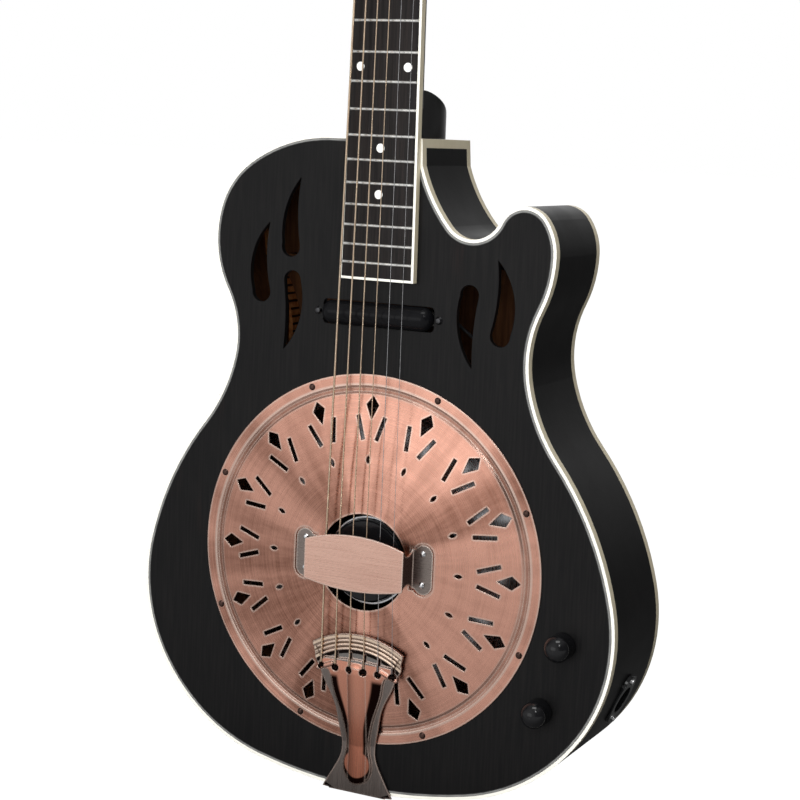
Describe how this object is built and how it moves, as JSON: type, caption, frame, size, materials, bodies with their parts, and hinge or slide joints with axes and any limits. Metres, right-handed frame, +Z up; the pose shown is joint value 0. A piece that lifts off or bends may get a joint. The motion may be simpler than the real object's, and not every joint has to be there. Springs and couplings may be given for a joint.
{
  "type": "resonator guitar",
  "caption": "Single-cutaway wood-bodied resonator guitar with a spun cone under a brushed copper cover plate, trapeze tailpiece, tube pickup and turning controls and tuners.",
  "frame": {"origin": "on the neck's centreline at the outer edge of the nut, level with the face of the body's top, where a wall hanger's yoke takes the neck", "axes": "+Z up the neck, +X towards the treble (cutaway) side, +Y from the face to the back; the face looks along -Y"},
  "size_m": [0.3628, 0.116, 1.0017],
  "materials": {
    "black_lacquer_wood": "satin transparent black over mahogany",
    "cream_binding": "polished cream plastic",
    "inner_wood": "bare sawn wood",
    "spun_aluminium": "spun, bright",
    "black_biscuit": "black stained",
    "maple_saddle": "hard maple",
    "antique_copper": "brushed antique copper plate",
    "dark_copper": "polished antique copper plate",
    "bright_screw": "nickel plated",
    "dark_screw": "black oxide",
    "copper_screw": "antique copper",
    "chrome": "polished",
    "rosewood": "oiled dark rosewood",
    "fret_wire": "polished nickel silver",
    "pearl_dot": "polished white",
    "bone": "polished bone",
    "black_gloss": "polished black",
    "bronze_string": "phosphor bronze winding",
    "steel_string": "tin plated steel",
    "plated_steel": "zinc plated",
    "wire_jacket": "soft black insulation"
  },
  "bodies": {
    "instrument": {"top_plate": "black_lacquer_wood", "back_plate": "black_lacquer_wood", "rim_sides": "black_lacquer_wood", "neck": "black_lacquer_wood", "top_binding": "cream_binding", "back_binding": "cream_binding", "cutaway_strip": "cream_binding", "fingerboard_binding": "cream_binding", "kerfed_linings": "inner_wood", "neck_block": "inner_wood", "tail_block": "inner_wood", "back_braces": "inner_wood", "soundwell_ring": "inner_wood", "resonator_cone": "spun_aluminium", "biscuit": "black_biscuit", "saddle": "maple_saddle", "cover_plate": "antique_copper", "hand_rest": "antique_copper", "tailpiece": "dark_copper", "hand_rest_screws": "bright_screw", "pickup_screws": "bright_screw", "biscuit_screw": "bright_screw", "neck_bolts": "bright_screw", "small_wood_screws": "bright_screw", "cover_plate_screws": "dark_screw", "truss_rod": "dark_screw", "tailpiece_screws": "copper_screw", "strap_buttons": "chrome", "tuner_housings": "chrome", "tuner_bushings": "chrome", "fingerboard": "rosewood", "frets": "fret_wire", "position_dots": "pearl_dot", "nut": "bone", "headstock_veneer": "black_gloss", "truss_rod_cover": "black_gloss", "pickup_tube": "black_gloss", "jack_plate": "black_gloss", "wound_strings": "bronze_string", "plain_strings": "steel_string", "pickup_baseplate": "plated_steel", "potentiometers": "plated_steel", "jack_socket": "plated_steel", "wiring": "wire_jacket"},
    "volume_control": {"volume_knob": "black_gloss", "volume_shaft": "plated_steel"},
    "tone_control": {"tone_knob": "black_gloss", "tone_shaft": "plated_steel"},
    "tuner_1_button": {"tuner_button_1": "chrome"},
    "tuner_1_post": {"tuner_post_1": "chrome"},
    "tuner_2_button": {"tuner_button_2": "chrome"},
    "tuner_2_post": {"tuner_post_2": "chrome"},
    "tuner_3_button": {"tuner_button_3": "chrome"},
    "tuner_3_post": {"tuner_post_3": "chrome"},
    "tuner_4_button": {"tuner_button_4": "chrome"},
    "tuner_4_post": {"tuner_post_4": "chrome"},
    "tuner_5_button": {"tuner_button_5": "chrome"},
    "tuner_5_post": {"tuner_post_5": "chrome"},
    "tuner_6_button": {"tuner_button_6": "chrome"},
    "tuner_6_post": {"tuner_post_6": "chrome"}
  },
  "joints": [
    {"name": "volume_turn", "type": "hinge", "parent": "instrument", "child": "volume_control", "pos_m": [0.1459, 0, -0.6895], "axis": [0, -1, 0], "range_deg": [-140, 140]},
    {"name": "tone_turn", "type": "hinge", "parent": "instrument", "child": "tone_control", "pos_m": [0.132, 0, -0.7365], "axis": [0, -1, 0], "range_deg": [-140, 140]},
    {"name": "tuner_1_turn", "type": "hinge", "parent": "instrument", "child": "tuner_1_button", "pos_m": [-0.038, 0.02985, 0.0412], "axis": [-1, 0, 0], "continuous": true},
    {"name": "post_1_turn", "type": "hinge", "parent": "instrument", "child": "tuner_1_post", "pos_m": [-0.023, 0.00968, 0.03881], "axis": [0, -0.9703, 0.2419], "continuous": true},
    {"name": "tuner_2_turn", "type": "hinge", "parent": "instrument", "child": "tuner_2_button", "pos_m": [-0.04, 0.04002, 0.08195], "axis": [-1, 0, 0], "continuous": true},
    {"name": "post_2_turn", "type": "hinge", "parent": "instrument", "child": "tuner_2_post", "pos_m": [-0.025, 0.01984, 0.07956], "axis": [0, -0.9703, 0.2419], "continuous": true},
    {"name": "tuner_3_turn", "type": "hinge", "parent": "instrument", "child": "tuner_3_button", "pos_m": [-0.042, 0.05018, 0.12271], "axis": [-1, 0, 0], "continuous": true},
    {"name": "post_3_turn", "type": "hinge", "parent": "instrument", "child": "tuner_3_post", "pos_m": [-0.027, 0.03, 0.12032], "axis": [0, -0.9703, 0.2419], "continuous": true},
    {"name": "tuner_4_turn", "type": "hinge", "parent": "instrument", "child": "tuner_4_button", "pos_m": [0.042, 0.05018, 0.12271], "axis": [1, 0, 0], "continuous": true},
    {"name": "post_4_turn", "type": "hinge", "parent": "instrument", "child": "tuner_4_post", "pos_m": [0.027, 0.03, 0.12032], "axis": [0, -0.9703, 0.2419], "continuous": true},
    {"name": "tuner_5_turn", "type": "hinge", "parent": "instrument", "child": "tuner_5_button", "pos_m": [0.04, 0.04002, 0.08195], "axis": [1, 0, 0], "continuous": true},
    {"name": "post_5_turn", "type": "hinge", "parent": "instrument", "child": "tuner_5_post", "pos_m": [0.025, 0.01984, 0.07956], "axis": [0, -0.9703, 0.2419], "continuous": true},
    {"name": "tuner_6_turn", "type": "hinge", "parent": "instrument", "child": "tuner_6_button", "pos_m": [0.038, 0.02985, 0.0412], "axis": [1, 0, 0], "continuous": true},
    {"name": "post_6_turn", "type": "hinge", "parent": "instrument", "child": "tuner_6_post", "pos_m": [0.023, 0.00968, 0.03881], "axis": [0, -0.9703, 0.2419], "continuous": true}
  ],
  "couplings": [
    {"joint": "post_1_turn", "follows": "tuner_1_turn", "ratio": -0.066667},
    {"joint": "post_2_turn", "follows": "tuner_2_turn", "ratio": -0.066667},
    {"joint": "post_3_turn", "follows": "tuner_3_turn", "ratio": -0.066667},
    {"joint": "post_4_turn", "follows": "tuner_4_turn", "ratio": 0.066667},
    {"joint": "post_5_turn", "follows": "tuner_5_turn", "ratio": 0.066667},
    {"joint": "post_6_turn", "follows": "tuner_6_turn", "ratio": 0.066667}
  ]
}
